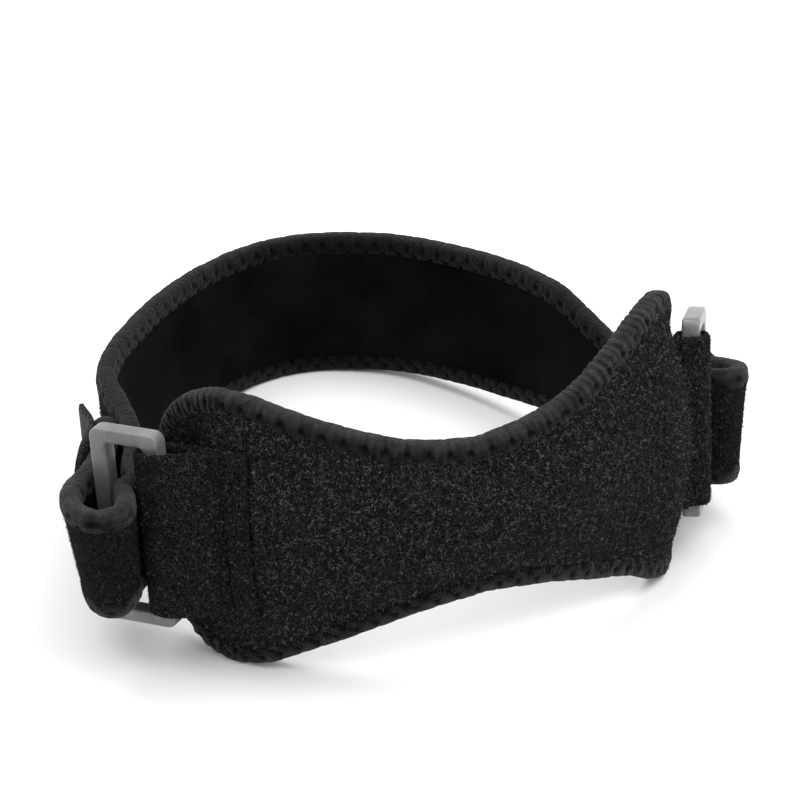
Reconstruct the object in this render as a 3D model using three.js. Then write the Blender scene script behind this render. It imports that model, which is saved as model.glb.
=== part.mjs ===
// A patella strap, in millimetres, with +Z up: a padded bow-tie front, a tab and a rectangular ring
// at each of its ends, and one long back strap whose ends pass out through the rings, fold back in
// a loose loop and close on the back strap with a hook tab.
// The strap stands on its edge. Its two lobes and the middle of the back strap touch the surface.
//
// The shapes are worked out in the strap's own frame: u to the right, v to the rear and w up.
// Cloth is laid out flat first, as s along the strip, w across it and d out of its face,
// and is then bent along the strip's plan curve.

import * as THREE from "three";

// Front pad
const padLength = 147;
const lobeHeight = 63;
const waistHeight = 35;
const padEndHeight = 24;
const lobeRounding = 19;
const padThickness = 4.5;
const padCrown = 4.4;
const padCrownLength = 120;
const padCrownFullness = 8;
const padMiddle = new THREE.Vector2(3, -28.3);
const padFrontRadius = 78;
const padFrontArc = 45;
const padLeftRadius = 40;
const padRightRadius = 30;

// Back strap
const strapThickness = 4;
const strapHeight = 34.8;
const strapLoopHeight = 26;
const strapTipRounding = 6;
const strapBeyondRings = 1;
const strapTaperStart = 5;
const strapTaperEnd = 66;
const strapDropRun = 20;

// Binding tape round every edge of the pad and of the back strap
const bindingWidth = 4.8;
const bindingWall = 0.7;
const bindingInset = 0.5;
const bindingFlat = 0.9;

// Rings
const ringHeight = 44.5;
const ringWidth = 16.3;
const ringThickness = 4;
const ringBar = 3.8;
const ringEndBar = 3.1;
const ringCorner = 1.6;
const ringEdge = 0.6;

// Tabs that hold the rings
const tabHeight = 37.6;
const tabThickness = 1.6;

// Hook tabs on the strap's ends
const hookHeight = 29;
const hookThickness = 1.5;
const hookRounding = 8;
const hookOverhang = 0.5;

// Clearance between neighbouring pieces, between bent layers of cloth, and how far the feet
// are pressed flat
const gap = 0.3;
const seat = 0.5;
const footFlat = 0.35;

// The two ends. barReach is where the ring's front bar lies, from the pad's middle, and barRise how
// far it stands off the pad's face; heading is that of the ring's width in plan; lift is how far
// the ring and its tab sit above the pad's middle line; lean turns the end backwards in the ring's
// own plane; reach is how far the loop stands out of the ring, and drop how far it hangs below the
// rest of the strap; flare tips the loop's top outwards, as a share of the height, over the lengths
// in flareRun; tabStart is where the tab's outer layer ends, from the pad's middle, and tabStep how
// far the under layer shows beyond it; hookLength is that of the hook tab.
const ends = {
  left: {
    side: -1,
    barReach: 65.0,
    barRise: 7.2,
    heading: 133.3,
    lift: 1.2,
    lean: 0.5,
    reach: 14.8,
    drop: 0.5,
    flare: 0.12,
    flareRun: { start: 2, full: 14, ease: 26, end: 40 },
    tabStart: 53,
    tabStep: 5.5,
    hookLength: 28,
  },
  right: {
    side: 1,
    barReach: 63.0,
    barRise: 4.7,
    heading: 60,
    lift: 1.8,
    lean: 12,
    reach: 8.2,
    drop: 1.7,
    flare: 0.12,
    flareRun: { start: 5, full: 14, ease: 20, end: 32 },
    tabStart: 57,
    tabStep: 1.5,
    hookLength: 19,
  },
};

const radians = THREE.MathUtils.degToRad;
const clamp = THREE.MathUtils.clamp;
const smooth = THREE.MathUtils.smoothstep;

// Lean of an end: full at the ring, and none beyond leanReach from it.
const leanCore = 16;
const leanReach = 46;
const lobeCrest = padLength / 2 - lobeRounding;

for (const end of Object.values(ends)) {
  const turn = radians(end.heading);
  end.along = new THREE.Vector2(Math.cos(turn), Math.sin(turn));
  end.out = new THREE.Vector2(end.side * Math.sin(turn), -end.side * Math.cos(turn));
  const onPad = padPlan(end.side * end.barReach);
  end.ring = onPad.point
    .addScaledVector(onPad.normal, end.barRise)
    .addScaledVector(end.along, (ringWidth - ringBar) / 2);
  const lobe = padPlan(end.side * lobeCrest).point;
  end.pivot = lobe.sub(end.ring).dot(end.along);
}

// Plan curve of the pad's front edge, with s measured from its middle: a wide arc across the front
// and a tighter one round each lobe. It gives a point and the normal that points off the leg.
function padPlan(s) {
  const side = Math.sign(s) || 1;
  const front = Math.min(Math.abs(s), padFrontArc) / padFrontRadius;
  const radius = side < 0 ? padLeftRadius : padRightRadius;
  const turn = front + Math.max(Math.abs(s) - padFrontArc, 0) / radius;
  const x = padFrontRadius * Math.sin(front) + radius * (Math.sin(turn) - Math.sin(front));
  const y = padFrontRadius * (1 - Math.cos(front)) + radius * (Math.cos(front) - Math.cos(turn));
  return {
    point: new THREE.Vector2(padMiddle.x + side * x, padMiddle.y + y),
    normal: new THREE.Vector2(side * Math.sin(turn), -Math.cos(turn)),
  };
}

// A place on the pad: d is counted from the middle of its thickness.
function padAt(s, w, d) {
  const { point, normal } = padPlan(s);
  point.addScaledVector(normal, d - padThickness / 2);
  return new THREE.Vector3(point.x, point.y, w);
}

// Half height of the pad: a bow tie whose lobes are rounded off to a short straight end.
const bowTie = new THREE.SplineCurve([
  new THREE.Vector2(0, 0),
  new THREE.Vector2(0.29, 0.17),
  new THREE.Vector2(0.66, 0.63),
  new THREE.Vector2(0.86, 0.92),
  new THREE.Vector2(1, 1),
]);

function padHalfHeight(s) {
  const reach = Math.abs(s);
  if (reach > lobeCrest) {
    const along = Math.min((reach - lobeCrest) / lobeRounding, 1);
    return padEndHeight / 2 + ((lobeHeight - padEndHeight) / 2) * Math.sqrt(1 - along * along);
  }
  const share = shareAt(bowTie, reach / lobeCrest);
  return waistHeight / 2 + ((lobeHeight - waistHeight) / 2) * share;
}

// Height of a share curve above a given x, found by halving.
function shareAt(curve, x) {
  let low = 0;
  let high = 1;
  for (let i = 0; i < 24; i++) {
    const middle = (low + high) / 2;
    if (curve.getPoint(middle).x < x) low = middle;
    else high = middle;
  }
  return curve.getPoint(low).y;
}

// How far the padding swells out of the pad's front face.
function padRise(s, w) {
  const across = clamp(Math.abs(w) / (padHalfHeight(s) - bindingWidth), 0, 1);
  const along = clamp(Math.abs(s) / (padCrownLength / 2), 0, 1);
  return padCrown * (1 - across ** 2) * (1 - along ** padCrownFullness);
}

// Plan curve of the back strap through chosen places. At each end the places of the loop are in
// the ring's frame: along its width, as a share of the ring's width, and out of it, as a share
// of the loop's reach. In the ring's slot, out is a share of the ring's thickness. The main run's
// places are shares of the strap's half width and of its depth.
const loopPlaces = {
  left: [
    { along: 0.69, out: -0.05 },
    { along: 0.63, out: 0.3 },
    { along: 0.49, out: 0.62 },
    { along: 0.31, out: 0.85 },
    { along: 0.12, out: 0.98 },
    { along: -0.06, out: 1 },
    { along: -0.17, out: 0.88 },
    { along: -0.16, out: 0.63 },
    { along: -0.07, out: 0.39 },
  ],
  right: [
    { along: 0.75, out: 0.12 },
    { along: 0.67, out: 0.5 },
    { along: 0.53, out: 0.83 },
    { along: 0.34, out: 1 },
    { along: 0.16, out: 0.96 },
    { along: 0.055, out: 0.76 },
    { along: 0.035, out: 0.52 },
  ],
};
const slotPlaces = [
  { along: 0.034, out: 0.7 },
  { along: 0.055, out: 0 },
  { along: 0.045, out: -0.65 },
];
const mainRun = [
  { u: -0.945, v: 0.085 },
  { u: -0.9, v: 0.16 },
  { u: -0.872, v: 0.27 },
  { u: -0.865, v: 0.37 },
  { u: -0.857, v: 0.475 },
  { u: -0.797, v: 0.565 },
  { u: -0.675, v: 0.68 },
  { u: -0.515, v: 0.805 },
  { u: -0.318, v: 0.918 },
  { u: -0.09, v: 0.992 },
  { u: 0.09, v: 0.997 },
  { u: 0.25, v: 0.958 },
  { u: 0.405, v: 0.887 },
  { u: 0.547, v: 0.766 },
  { u: 0.659, v: 0.634 },
  { u: 0.745, v: 0.498 },
  { u: 0.806, v: 0.36 },
  { u: 0.864, v: 0.222 },
  { u: 0.912, v: 0.135 },
  { u: 0.948, v: 0.075 },
];
const strapHalfWidth = (ends.right.ring.x - ends.left.ring.x) / 2 + strapBeyondRings;
const strapDepth = 96.5;

// The folded end runs back beside the main run, outside it, past this many of its places.
const tailPlaces = { left: 2, right: 1 };

function tailOf(side, run) {
  const apart = strapThickness + seat;
  return run.slice(2, 2 + tailPlaces[side]).map((place, i) => {
    const ahead = run[i + 3].clone().sub(run[i + 1]).normalize();
    const out = new THREE.Vector2(ahead.y, -ahead.x).multiplyScalar(ends[side].side);
    return place.clone().addScaledVector(out, apart);
  });
}

function endPlace(end, place, reach) {
  return end.ring
    .clone()
    .addScaledVector(end.along, place.along * ringWidth)
    .addScaledVector(end.out, place.out * reach);
}

function strapCurve() {
  const run = mainRun.map(({ u, v }) => new THREE.Vector2(u * strapHalfWidth, v * strapDepth));
  const fold = (side) => [
    ...loopPlaces[side].map((place) => endPlace(ends[side], place, ends[side].reach)),
    ...slotPlaces.map((place) => endPlace(ends[side], place, ringThickness)),
  ];
  const places = [
    ...tailOf("left", run).reverse(),
    ...fold("left"),
    ...run,
    ...fold("right").reverse(),
    ...tailOf("right", [...run].reverse()),
  ];
  const curve = new THREE.CatmullRomCurve3(
    places.map((p) => new THREE.Vector3(p.x, p.y, 0)),
    false,
    "centripetal",
  );
  curve.arcLengthDivisions = 3000;
  return curve;
}

const strapPath = strapCurve();
const strapLength = strapPath.getLength();

// The strap's plan at s, and its normal, which points to the leg on the main run and outwards
// on the ends that are folded back.
function strapPlan(s) {
  const share = clamp(s / strapLength, 0, 1);
  const tangent = strapPath.getTangentAt(share);
  return {
    point: strapPath.getPointAt(share),
    normal: new THREE.Vector3(tangent.y, -tangent.x, 0),
  };
}

// Lengths along the strap at which it passes each ring.
function ringCrossing(end) {
  const centre = new THREE.Vector3(end.ring.x, end.ring.y, 0);
  const steps = 2000;
  let nearest = 0;
  let least = Infinity;
  for (let i = 0; i <= steps; i++) {
    const away = strapPath.getPointAt(i / steps).distanceTo(centre);
    if (away < least) {
      least = away;
      nearest = (i / steps) * strapLength;
    }
  }
  return nearest;
}
const leftCrossing = ringCrossing(ends.left);
const rightCrossing = ringCrossing(ends.right);

// Half height of the back strap: full at the rear, narrow from a little before the rings outwards.
function strapHalfHeight(s) {
  const inside = Math.min(s - leftCrossing, rightCrossing - s);
  const full = smooth(inside, strapTaperStart, strapTaperEnd);
  return (strapLoopHeight + (strapHeight - strapLoopHeight) * full) / 2;
}

// How much the strap's top tips outwards, as a share of the height above the middle, at a length
// along the loop from the ring.
function flareOf({ flare, flareRun }, past) {
  const rising = smooth(past, flareRun.start, flareRun.full);
  return flare * rising * (1 - smooth(past, flareRun.ease, flareRun.end));
}

function strapFlare(s) {
  const beforeLeft = leftCrossing - s;
  const afterRight = s - rightCrossing;
  return flareOf(ends.left, beforeLeft) + flareOf(ends.right, afterRight);
}

// How far the strap hangs down at s: fully from each ring outwards, and not at all behind the leg.
function strapDrop(s) {
  const left = smooth(leftCrossing - s, -strapDropRun, 0);
  const right = smooth(s - rightCrossing, -strapDropRun, 0);
  return ends.left.drop * left + ends.right.drop * right;
}

function strapAt(s, w, d) {
  const { point, normal } = strapPlan(s);
  const place = point.clone().addScaledVector(normal, d + w * strapFlare(s));
  place.z = w - strapDrop(s);
  return place;
}

// Lengths along the strap where it is cut into facets: short steps where it bends, long ones
// where it runs straight.
function strapStations(from, to) {
  const longest = 7;
  const shortest = 1.4;
  const turnPerStep = 0.36;
  const probe = 1;
  const stations = [from];
  let s = from;
  while (s < to - shortest) {
    let step = longest;
    for (let ahead = 0; ahead < longest; ahead += probe) {
      const here = strapPlan(s + ahead).normal;
      const next = strapPlan(s + ahead + probe).normal;
      const bend = here.angleTo(next) / probe;
      step = Math.min(step, Math.max(turnPerStep / Math.max(bend, 1e-6), ahead));
    }
    step = Math.max(step, shortest);
    s = Math.min(s + step, to);
    stations.push(s);
  }
  if (stations.at(-1) < to) stations[stations.length - 1] = to;
  return stations;
}

// A closed outline, laid flat: each corner with its inward normal.
function outlineOf(corners) {
  return corners.map((corner, i) => {
    const before = corners[(i + corners.length - 1) % corners.length];
    const after = corners[(i + 1) % corners.length];
    const run = after.clone().sub(before).normalize();
    return { at: corner, inward: new THREE.Vector2(-run.y, run.x) };
  });
}

function padOutline() {
  const along = [0, 0.1, 0.2, 0.31, 0.42, 0.53, 0.64, 0.75, 0.86, 0.95].map((x) => x * lobeCrest);
  const roundSteps = 7;
  for (let i = 0; i <= roundSteps; i++) {
    const turn = (i / roundSteps) * (Math.PI / 2);
    along.push(lobeCrest + lobeRounding * Math.sin(turn));
  }
  const quarter = along.map((s) => new THREE.Vector2(s, padHalfHeight(s)));
  const lowerRight = quarter.map((p) => new THREE.Vector2(p.x, -p.y));
  const upperRight = [...quarter].reverse();
  const upperLeft = quarter.slice(1).map((p) => new THREE.Vector2(-p.x, p.y));
  const lowerLeft = [...upperLeft].reverse().map((p) => new THREE.Vector2(p.x, -p.y));
  const middleRight = [new THREE.Vector2(padLength / 2, 0)];
  const middleLeft = [new THREE.Vector2(-padLength / 2, 0)];
  return outlineOf([
    ...lowerRight,
    ...middleRight,
    ...upperRight,
    ...upperLeft,
    ...middleLeft,
    ...lowerLeft,
  ]);
}

function strapOutline() {
  const inner = strapStations(strapTipRounding, strapLength - strapTipRounding);
  const bottom = inner.map((s) => new THREE.Vector2(s, -strapHalfHeight(s)));
  const top = [...inner].reverse().map((s) => new THREE.Vector2(s, strapHalfHeight(s)));
  const half = strapLoopHeight / 2 - strapTipRounding;
  const cornerSteps = 3;
  const tip = (s, turnSide) => {
    const points = [];
    for (let i = 1; i < cornerSteps; i++) {
      const turn = (i / cornerSteps) * (Math.PI / 2);
      points.push(
        new THREE.Vector2(
          s - turnSide * strapTipRounding * (1 - Math.sin(turn)),
          half + strapTipRounding * Math.cos(turn),
        ),
      );
    }
    points.push(new THREE.Vector2(s, half));
    const lower = [...points].reverse().map((p) => new THREE.Vector2(p.x, -p.y));
    return { upper: points, middle: new THREE.Vector2(s, 0), lower };
  };
  const far = tip(strapLength, 1);
  const near = tip(0, -1);
  return outlineOf([
    ...bottom,
    ...[...far.lower].reverse(),
    far.middle,
    ...[...far.upper].reverse(),
    ...top,
    ...near.upper,
    near.middle,
    ...near.lower,
  ]);
}

// Collects triangles by the places of their corners, and drops those with no area.
class Skin {
  constructor() {
    this.places = [];
    this.index = [];
    this.known = new Map();
  }

  corner(place) {
    const key = place.toArray().map((value) => Math.round(value * 1e4)).join(" ");
    if (!this.known.has(key)) {
      this.known.set(key, this.places.length);
      this.places.push(place);
    }
    return this.known.get(key);
  }

  triangle(a, b, c) {
    const [i, j, k] = [a, b, c].map((place) => this.corner(place));
    if (i !== j && j !== k && k !== i) this.index.push(i, j, k);
  }

  quad(a, b, c, d) {
    this.triangle(a, b, c);
    this.triangle(a, c, d);
  }

  geometry() {
    const geometry = new THREE.BufferGeometry();
    geometry.setFromPoints(this.places);
    geometry.setIndex(this.index);
    geometry.computeVertexNormals();
    return geometry;
  }
}

// Skins closed rings of points into a tube that closes on itself.
function hoop(rings) {
  const skin = new Skin();
  rings.forEach((ring, i) => {
    const next = rings[(i + 1) % rings.length];
    ring.forEach((place, j) => {
      const k = (j + 1) % ring.length;
      skin.quad(place, next[j], next[k], ring[k]);
    });
  });
  return skin.geometry();
}

// Skins closed rings of points into a bar with a flat fan at each end. The fans join the two
// sides of a flat section, point to point.
function bar(rings) {
  const skin = new Skin();
  for (let i = 0; i + 1 < rings.length; i++) {
    rings[i].forEach((place, j) => {
      const k = (j + 1) % rings[i].length;
      skin.quad(place, rings[i + 1][j], rings[i + 1][k], rings[i][k]);
    });
  }
  const cap = (ring, flip) => {
    const last = ring.length - 1;
    for (let j = 0; j < ring.length / 2 - 1; j++) {
      const corners = [ring[j], ring[j + 1], ring[last - j - 1], ring[last - j]];
      if (flip) corners.reverse();
      skin.quad(...corners);
    }
  };
  cap(rings[0], false);
  cap(rings.at(-1), true);
  return skin.geometry();
}

// A bound panel: thin under the binding round its edge, full thickness inside it.
function panel(outline, at, half, rise, spineOf, faceRows) {
  const thin = half - bindingWall - gap;
  const edge = bindingWall + gap;
  const ledge = bindingWidth + gap;
  const step = ledge + gap / 2;
  const rows = [];
  const row = (inset, depth, share) => ({ inset, depth, share });
  const front = faceRows.map((share) => row(step, half, share));
  const back = [1, 0].map((share) => row(step, -half, share));
  rows.push(row(edge, -thin, 0), row(edge, thin, 0), row(ledge, thin, 0));
  rows.push(...front, ...back, row(ledge, -thin, 0));
  const place = (point, { inset, depth, share }) => {
    const flat = point.at.clone().addScaledVector(point.inward, inset);
    flat.lerp(spineOf(point.at), share);
    const swell = depth === half ? rise(flat.x, flat.y) : 0;
    return at(flat.x, flat.y, depth + swell);
  };
  const skin = new Skin();
  const faceEnd = 2 + front.length;
  outline.forEach((point, i) => {
    const next = outline[(i + 1) % outline.length];
    rows.forEach((here, j) => {
      if (j === faceEnd) return;
      const there = rows[(j + 1) % rows.length];
      skin.quad(place(point, here), place(next, here), place(next, there), place(point, there));
    });
  });
  return skin.geometry();
}

// The binding: a folded tape that wraps the panel's edge, front and back.
function binding(outline, at, half) {
  const section = [
    { inset: bindingWidth, depth: half - bindingWall },
    { inset: bindingWall, depth: half - bindingWall },
    { inset: bindingWall, depth: bindingWall - half },
    { inset: bindingWidth, depth: bindingWall - half },
    { inset: bindingWidth, depth: -half },
    { inset: bindingInset, depth: -half },
    { inset: 0, depth: (-half * bindingFlat) / 2 },
    { inset: 0, depth: (half * bindingFlat) / 2 },
    { inset: bindingInset, depth: half },
    { inset: bindingWidth, depth: half },
  ];
  return hoop(
    outline.map((point) =>
      section.map(({ inset, depth }) => {
        const flat = point.at.clone().addScaledVector(point.inward, inset);
        return at(flat.x, flat.y, depth);
      }),
    ),
  );
}

// Heights across a flat strip, from its bottom to its top.
function across(height, steps) {
  return Array.from({ length: steps + 1 }, (_, i) => (i / steps - 0.5) * height);
}

// A flat strip: at each station, its two faces from bottom to top and back.
function strip(stations, heights) {
  return bar(
    stations.map((station) => [
      ...heights.map((w) => station(w, -1)),
      ...[...heights].reverse().map((w) => station(w, 1)),
    ]),
  );
}

// The tab: sewn to the pad, out round the ring's inner bar, and back over itself.
// Places of the tab round the ring's bar, as shares of its distance from the bar's middle along
// the ring's width and out of the ring.
const wrapPlaces = [
  { along: -0.2, out: -1 },
  { along: 0.55, out: -1 },
  { along: 0.9, out: -0.8 },
  { along: 1, out: -0.45 },
  { along: 1, out: 0.45 },
  { along: 0.9, out: 0.8 },
  { along: 0.55, out: 1 },
  { along: -0.75, out: 1 },
];

function tabGeometry(end) {
  const half = tabThickness / 2;
  const under = padThickness / 2 + gap + half;
  const over = under + tabThickness + gap;
  const onPad = (reach, level) => (w, side) =>
    padAt(end.side * reach, w, level + padRise(end.side * reach, w) + side * half);
  const bar = endPlace(end, { along: ringBar / ringWidth / 2 - 0.5, out: 0 }, 1);
  const alongHalf = ringBar / 2 + gap + half;
  const outHalf = ringThickness / 2 + gap + half;
  const roundBar = ({ along, out }) => {
    const away = new THREE.Vector2(along ** 3, out ** 3).normalize();
    return (w, side) => {
      const place = bar
        .clone()
        .addScaledVector(end.along, along * alongHalf + side * half * away.x)
        .addScaledVector(end.out, out * outHalf + side * half * away.y);
      return new THREE.Vector3(place.x, place.y, w);
    };
  };
  const turned = (station) => (w, side) => station(w, -side);
  const stations = [
    turned(onPad(end.tabStart - end.tabStep, under)),
    turned(onPad(end.tabStart, under)),
    ...wrapPlaces.map(roundBar),
    onPad(end.tabStart, over),
  ];
  const heights = across(tabHeight, 6).map((w) => w + end.lift);
  return end.side < 0 ? strip(stations.reverse(), heights) : strip(stations, heights);
}

// The hook tab: on the outside of the folded strap end, round in front and square behind.
function hookGeometry(end) {
  const half = hookThickness / 2;
  const level = strapThickness / 2 + seat + half;
  const steps = [0, 0.04, 0.1, 0.18, 0.28, 0.4, 0.52, 0.64, 0.76, 0.88, 1];
  const tip = end.side < 0 ? -hookOverhang : strapLength + hookOverhang;
  const stations = steps.map((share) => {
    const fromFront = share * end.hookLength;
    const s = tip - end.side * (end.hookLength - fromFront);
    const corner = Math.max(hookRounding - fromFront, 0) / hookRounding;
    const trim = hookRounding * (1 - Math.sqrt(Math.max(1 - corner * corner, 0)));
    const height = 1 - (2 * trim) / hookHeight;
    return (w, side) => hookPlace(s, w * height, level + side * half);
  });
  const heights = across(hookHeight, 4);
  return end.side < 0 ? strip(stations, heights) : strip(stations.reverse(), heights);
}

// A place beside the strap's end, carried straight on past its tip.
function hookPlace(s, w, d) {
  const inside = clamp(s, 0, strapLength);
  const place = strapAt(inside, w, d);
  const tangent = strapPath.getTangentAt(inside / strapLength);
  return place.addScaledVector(tangent, s - inside);
}

// The ring: a rounded rectangular frame with softened edges, standing in its own plane.
function ringGeometry(end) {
  const outer = roundedRectangle(ringWidth - 2 * ringEdge, ringHeight - 2 * ringEdge, ringCorner);
  const hole = roundedRectangle(
    ringWidth - 2 * ringBar + 2 * ringEdge,
    ringHeight - 2 * ringEndBar + 2 * ringEdge,
    ringCorner,
  );
  const shape = new THREE.Shape(outer);
  shape.holes.push(new THREE.Path([...hole].reverse()));
  const geometry = new THREE.ExtrudeGeometry(shape, {
    depth: ringThickness - 2 * ringEdge,
    bevelThickness: ringEdge,
    bevelSize: ringEdge,
    bevelSegments: 2,
    curveSegments: 1,
  });
  geometry.translate(0, 0, ringEdge - ringThickness / 2);
  return frame(geometry, (p) => {
    const flat = end.ring
      .clone()
      .addScaledVector(end.along, p.x)
      .addScaledVector(end.out, end.side * p.z);
    return new THREE.Vector3(flat.x, flat.y, p.y + end.lift);
  });
}

// Corner points of a rounded rectangle about the origin.
function roundedRectangle(width, height, radius) {
  const steps = 3;
  const points = [];
  for (let corner = 0; corner < 4; corner++) {
    const x = (corner === 1 || corner === 2 ? -1 : 1) * (width / 2 - radius);
    const y = (corner > 1 ? -1 : 1) * (height / 2 - radius);
    for (let i = 0; i <= steps; i++) {
      const turn = ((corner + i / steps) * Math.PI) / 2;
      points.push(new THREE.Vector2(x + radius * Math.cos(turn), y + radius * Math.sin(turn)));
    }
  }
  return points;
}

// Moves every vertex of a geometry.
function frame(geometry, move) {
  const position = geometry.getAttribute("position");
  const place = new THREE.Vector3();
  for (let i = 0; i < position.count; i++) {
    place.fromBufferAttribute(position, i);
    const moved = move(place);
    position.setXYZ(i, moved.x, moved.y, moved.z);
  }
  geometry.computeVertexNormals();
  return geometry;
}

// The lean of both ends: each is turned about its lobe, in the plane of its ring.
function lean(place) {
  const moved = place.clone();
  for (const end of Object.values(ends)) {
    const away = new THREE.Vector2(place.x, place.y).sub(end.ring);
    const share = 1 - smooth(away.length(), leanCore, leanReach);
    const turn = radians(end.lean) * share;
    const along = away.dot(end.along) - end.pivot;
    const turnedAlong = along * Math.cos(turn) + place.z * Math.sin(turn);
    const raised = place.z * Math.cos(turn) - along * Math.sin(turn);
    moved.x += (turnedAlong - along) * end.along.x;
    moved.y += (turnedAlong - along) * end.along.y;
    moved.z += raised - place.z;
  }
  return moved;
}

// Materials, one for each finish
const finish = (color, roughness, metalness = 0) =>
  new THREE.MeshStandardMaterial({ color, roughness, metalness });
const pileCloth = () => finish(0x161616, 0.95);
const bindingTape = () => finish(0x1d1d1e, 0.8);
const hookTape = () => finish(0x0d0d0e, 0.7);
const greyPlastic = () => finish(0x6b6b6b, 0.45);

// The pieces, in the strap's own frame
const pad = padOutline();
const strap = strapOutline();
const padSpine = padLength / 2 - lobeHeight / 3;
const strapSpine = strapLoopHeight / 2;
const onSpine = (low, high) => (flat) => new THREE.Vector2(clamp(flat.x, low, high), 0);
const flatFace = () => 0;

const pieces = [
  {
    name: "pad",
    geometry: panel(pad, padAt, padThickness / 2, padRise, onSpine(-padSpine, padSpine), [
      0, 0.3, 0.65, 1,
    ]),
    material: pileCloth(),
  },
  {
    name: "pad_binding",
    geometry: binding(pad, padAt, padThickness / 2),
    material: bindingTape(),
  },
  {
    name: "back_strap",
    geometry: panel(
      strap,
      strapAt,
      strapThickness / 2,
      flatFace,
      onSpine(strapSpine, strapLength - strapSpine),
      [0, 1],
    ),
    material: pileCloth(),
  },
  {
    name: "back_strap_binding",
    geometry: binding(strap, strapAt, strapThickness / 2),
    material: bindingTape(),
  },
];
for (const [name, end] of Object.entries(ends)) {
  pieces.push({ name: `${name}_ring`, geometry: ringGeometry(end), material: greyPlastic() });
  pieces.push({ name: `${name}_tab`, geometry: tabGeometry(end), material: pileCloth() });
  pieces.push({ name: `${name}_hook_tab`, geometry: hookGeometry(end), material: hookTape() });
}

// The plane that the strap stands on: through the lowest point of each lobe and of the rear.
function restingUp(places) {
  const up = new THREE.Vector3(0, 0, 1);
  const front = (p) => p.y < strapDepth / 5;
  const feet = [
    (p) => front(p) && p.x < 0,
    (p) => front(p) && p.x > 0,
    (p) => p.y > strapDepth / 2,
  ].map((isFoot) => places.filter(isFoot));
  let lowest = [];
  const passes = 6;
  for (let pass = 0; pass < passes; pass++) {
    lowest = feet.map((foot) => foot.reduce((a, b) => (b.dot(up) < a.dot(up) ? b : a)));
    const [left, right, rear] = lowest;
    up.crossVectors(right.clone().sub(left), rear.clone().sub(left)).normalize();
  }
  return { up, level: lowest[0].dot(up) };
}

const leaned = pieces.map((piece) => frame(piece.geometry, lean));
const places = leaned.flatMap((geometry) => {
  const position = geometry.getAttribute("position");
  return Array.from({ length: position.count }, (_, i) =>
    new THREE.Vector3().fromBufferAttribute(position, i),
  );
});
const { up, level } = restingUp(places);
const floor = level + footFlat;
for (const geometry of leaned) {
  frame(geometry, (place) => {
    const below = Math.max(floor - place.dot(up), 0);
    return place.clone().addScaledVector(up, below);
  });
}

// The strap, stood on its lobes and rear edge, with the origin below the middle of its box
const stand = new THREE.Group();
for (const { name, geometry, material } of pieces) {
  const mesh = new THREE.Mesh(geometry, material);
  mesh.name = name;
  stand.add(mesh);
}
stand.quaternion.setFromUnitVectors(up, new THREE.Vector3(0, 0, 1));
const box = new THREE.Box3().setFromObject(stand, true);
const centre = box.getCenter(new THREE.Vector3());
stand.position.set(-centre.x, -centre.y, -box.min.z);

const patellaStrap = new THREE.Group();
patellaStrap.add(stand);

export default patellaStrap;
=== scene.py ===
# A patella strap standing on its edge: a bow-tie pad bound with tape, a plastic ring held at each
# end by a folded tab, and a back strap whose ends pass out through the rings and fold back.
import math

import bmesh
import bpy
import numpy as np
from mathutils import Matrix, Vector


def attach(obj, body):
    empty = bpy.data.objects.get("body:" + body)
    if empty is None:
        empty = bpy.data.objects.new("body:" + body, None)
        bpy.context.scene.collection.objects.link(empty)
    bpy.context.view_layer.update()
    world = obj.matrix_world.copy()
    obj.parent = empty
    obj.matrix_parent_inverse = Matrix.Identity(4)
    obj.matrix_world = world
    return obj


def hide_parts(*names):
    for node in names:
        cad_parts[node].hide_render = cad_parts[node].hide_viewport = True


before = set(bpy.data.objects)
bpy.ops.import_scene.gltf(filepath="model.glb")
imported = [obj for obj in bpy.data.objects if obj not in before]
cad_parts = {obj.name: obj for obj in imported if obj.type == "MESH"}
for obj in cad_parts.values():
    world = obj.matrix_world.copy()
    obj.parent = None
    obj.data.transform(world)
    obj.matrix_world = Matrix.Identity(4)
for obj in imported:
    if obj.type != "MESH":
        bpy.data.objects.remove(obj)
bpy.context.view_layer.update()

# The camera
# The strap is seen from in front, a little from its left side and from above, with a long lens.
# The camera's angles are given in the strap's own frame and stood upright with it.
MILLIMETRE = 0.001
# The strap's own frame, in millimetres, has u to the right, v to the rear and w up. It is tipped
# so that the strap stands on its two lobes and on the rear of the back strap.
STRAP_UP = np.array([-0.006228, -0.130495, 0.991429])
STRAP_SHIFT = np.array([0.3558, -33.7173, 29.6181])


def turn_upright():
    """The turn that takes the strap's own up to the scene's."""
    x, y, z = np.cross(STRAP_UP, [0, 0, 1])
    twist = np.array([[0, -z, y], [z, 0, -x], [-y, x, 0]])
    return np.eye(3) + twist + twist @ twist / (1 + STRAP_UP[2])


UPRIGHT = turn_upright()

view_round = math.radians(-19.15)
view_up = math.radians(26)
view_roll = math.radians(-3.6)
view_distance = 0.75
back = np.array([
    math.sin(view_round) * math.cos(view_up),
    -math.cos(view_round) * math.cos(view_up),
    math.sin(view_up),
])
level_right = np.array([math.cos(view_round), math.sin(view_round), 0])
level_up = np.cross(back, level_right)
right = level_right * math.cos(view_roll) + level_up * math.sin(view_roll)
up = np.cross(back, right)
eye = UPRIGHT @ (back * view_distance) + STRAP_SHIFT * MILLIMETRE

camera_data = bpy.data.cameras.new("camera")
camera_data.lens = 158.1
camera_data.sensor_width = 36
camera_data.shift_x = -0.028
camera_data.shift_y = 0.085
camera_data.clip_start = 0.05
camera_data.clip_end = 20
camera = bpy.data.objects.new("camera", camera_data)
camera_turn = UPRIGHT @ np.column_stack([right, up, back])
camera.matrix_world = Matrix([[*camera_turn[row], eye[row]] for row in range(3)] + [[0, 0, 0, 1]])
bpy.context.scene.collection.objects.link(camera)
bpy.context.scene.camera = camera

# The floor and the light
# A white studio sweep under two broad soft lights from above, one on the right and one behind,
# so that every edge is bright and the shadows stay short, soft and deepest on the left.


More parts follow.
